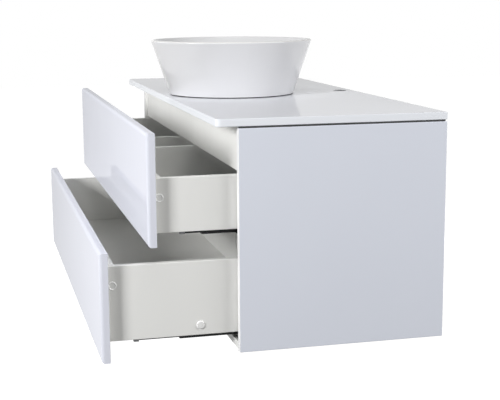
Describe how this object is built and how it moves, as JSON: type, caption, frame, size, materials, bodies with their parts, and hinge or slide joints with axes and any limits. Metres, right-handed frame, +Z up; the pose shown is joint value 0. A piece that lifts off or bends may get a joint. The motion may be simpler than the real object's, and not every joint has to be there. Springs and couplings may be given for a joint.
{
  "type": "wall-hung vanity with vessel basin",
  "caption": "Wall-hung bathroom vanity with handleless drawers on concealed runners, a counter with a tap hole, and a round tapered vessel basin with a pop-up waste and bottle trap.",
  "frame": {"origin": "centre of the four wall screws, on the wall plane", "axes": "+X to the right, +Y towards the wall, +Z up; the drawers open towards -Y"},
  "size_m": [1.2, 0.735, 0.62],
  "materials": {
    "gloss_white": "high-gloss white lacquer on fibreboard",
    "matt_white": "white melamine-faced chipboard",
    "ceramic": "white glaze",
    "black_rubber": "matt",
    "chrome": "polished plating",
    "white_plastic": "moulded",
    "zinc_steel": "zinc plated",
    "grey_plastic": "moulded",
    "dark_steel": "black coated sheet steel"
  },
  "bodies": {
    "cabinet": {"back_rail_lower": "matt_white", "back_rail_upper": "matt_white", "basin": "ceramic", "basin_seal": "black_rubber", "bottom_board": "matt_white", "counter_brackets": "zinc_steel", "counter_pads": "black_rubber", "countertop": "gloss_white", "front_apron": "matt_white", "hangers": "zinc_steel", "lower_runner_rail_left": "dark_steel", "lower_runner_rail_right": "dark_steel", "outlet_pipe": "white_plastic", "runner_screws": "zinc_steel", "side_panel_left": "gloss_white", "side_panel_right": "gloss_white", "trap_body": "white_plastic", "trap_cup": "white_plastic", "trap_inlet_pipe": "white_plastic", "trap_nuts": "white_plastic", "upper_runner_rail_left": "dark_steel", "upper_runner_rail_right": "dark_steel", "wall_plates": "zinc_steel", "waste_body": "chrome", "waste_gasket": "black_rubber", "waste_nut": "white_plastic", "waste_seal": "black_rubber"},
    "upper_drawer": {"upper_back_left": "matt_white", "upper_back_right": "matt_white", "upper_box_side_left": "matt_white", "upper_box_side_right": "matt_white", "upper_cover_caps": "white_plastic", "upper_floor": "matt_white", "upper_front": "gloss_white", "upper_front_screws": "zinc_steel", "upper_locking_clips": "grey_plastic", "upper_runner_carrier_left": "dark_steel", "upper_runner_carrier_right": "dark_steel", "upper_side_glides": "grey_plastic", "upper_sub_front": "matt_white", "well_wall_front": "matt_white", "well_wall_left": "matt_white", "well_wall_right": "matt_white"},
    "upper_slides": {"upper_runner_slide_left": "dark_steel", "upper_runner_slide_right": "dark_steel"},
    "lower_drawer": {"lower_back": "matt_white", "lower_box_side_left": "matt_white", "lower_box_side_right": "matt_white", "lower_cover_caps": "white_plastic", "lower_floor": "matt_white", "lower_front": "gloss_white", "lower_front_screws": "zinc_steel", "lower_locking_clips": "grey_plastic", "lower_runner_carrier_left": "dark_steel", "lower_runner_carrier_right": "dark_steel", "lower_side_glides": "grey_plastic", "lower_sub_front": "matt_white"},
    "lower_slides": {"lower_runner_slide_left": "dark_steel", "lower_runner_slide_right": "dark_steel"},
    "plug": {"waste_plug": "chrome"}
  },
  "joints": [
    {"name": "upper_drawer_slide", "type": "slide", "parent": "cabinet", "child": "upper_drawer", "axis": [0, -1, 0], "range_m": [-0.166, 0.214]},
    {"name": "upper_runner_slide", "type": "slide", "parent": "cabinet", "child": "upper_slides", "axis": [0, -1, 0], "range_m": [-0.083, 0.107]},
    {"name": "lower_drawer_slide", "type": "slide", "parent": "cabinet", "child": "lower_drawer", "axis": [0, -1, 0], "range_m": [-0.265, 0.115]},
    {"name": "lower_runner_slide", "type": "slide", "parent": "cabinet", "child": "lower_slides", "axis": [0, -1, 0], "range_m": [-0.1325, 0.0575]},
    {"name": "plug_lift", "type": "slide", "parent": "cabinet", "child": "plug", "axis": [0, 0, 1], "range_m": [0, 0.008]}
  ],
  "couplings": [
    {"joint": "upper_runner_slide", "follows": "upper_drawer_slide", "ratio": 0.5},
    {"joint": "lower_runner_slide", "follows": "lower_drawer_slide", "ratio": 0.5}
  ]
}
